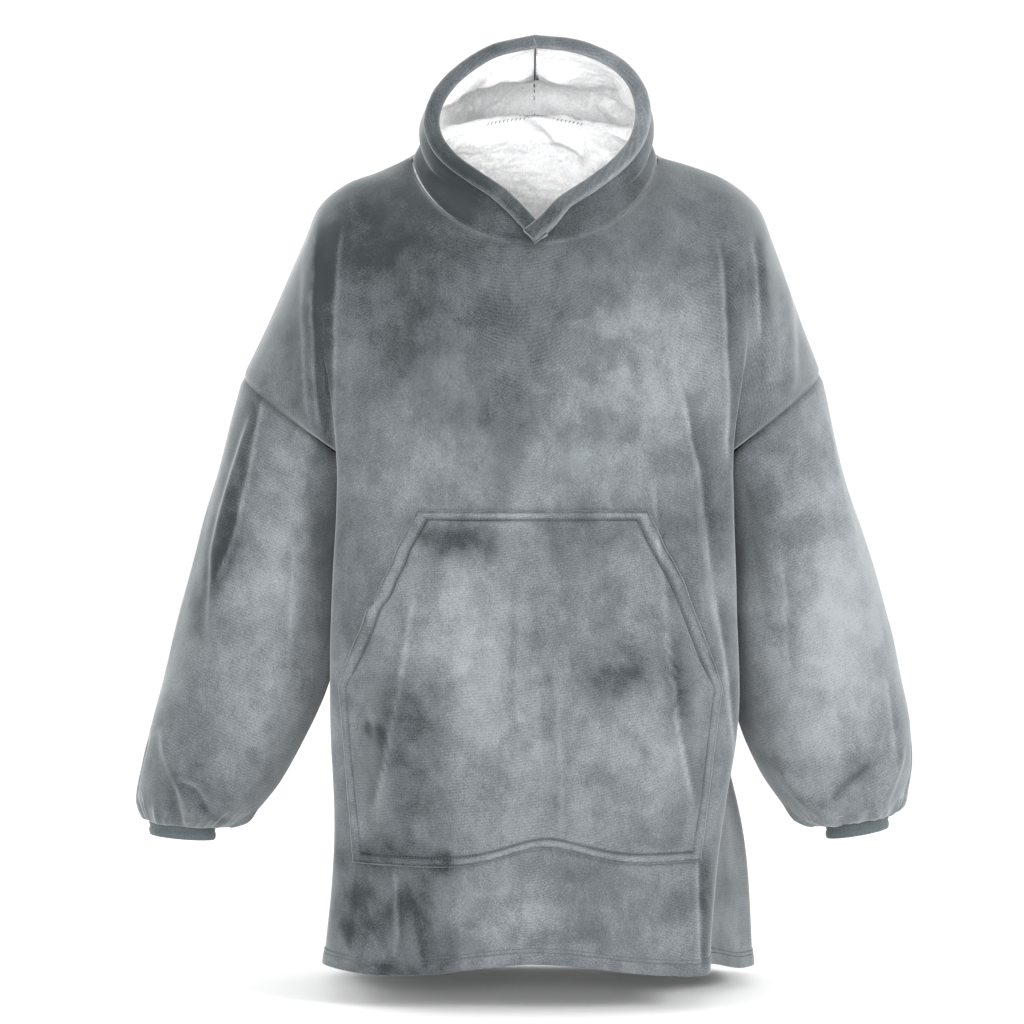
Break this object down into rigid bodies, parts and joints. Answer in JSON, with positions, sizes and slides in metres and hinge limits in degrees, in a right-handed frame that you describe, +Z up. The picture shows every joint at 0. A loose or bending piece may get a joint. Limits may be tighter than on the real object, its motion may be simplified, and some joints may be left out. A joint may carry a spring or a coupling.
{
  "type": "wearable blanket hoodie, filled out as worn",
  "caption": "Oversized pullover blanket hoodie with hood up, drop shoulders, gathered sleeve ends, short cuffs and a large front pocket, pale pile lining in the hood.",
  "frame": {"origin": "midway between the two shoulder points of the neck seam, where the wearer's shoulders carry the garment", "axes": "+X to the wearer's left, +Y to the back, +Z up; the front faces -Y"},
  "size_m": [0.8438, 0.4096, 1.019],
  "materials": {
    "fleece": "short velvety nap of grey-blue flannel fleece, crushed in patches",
    "cuff_cloth": "close-napped grey-blue knit",
    "pile": "curly off-white pile"
  },
  "bodies": {
    "root": {"front_panel": "fleece", "back_panel": "fleece", "sleeve_right": "fleece", "sleeve_left": "fleece", "cuff_right": "cuff_cloth", "cuff_left": "cuff_cloth", "hood_right": "fleece", "hood_left": "fleece", "hood_band": "fleece", "hood_lining_right": "pile", "hood_lining_left": "pile", "back_lining": "pile", "pocket": "fleece"}
  },
  "joints": []
}
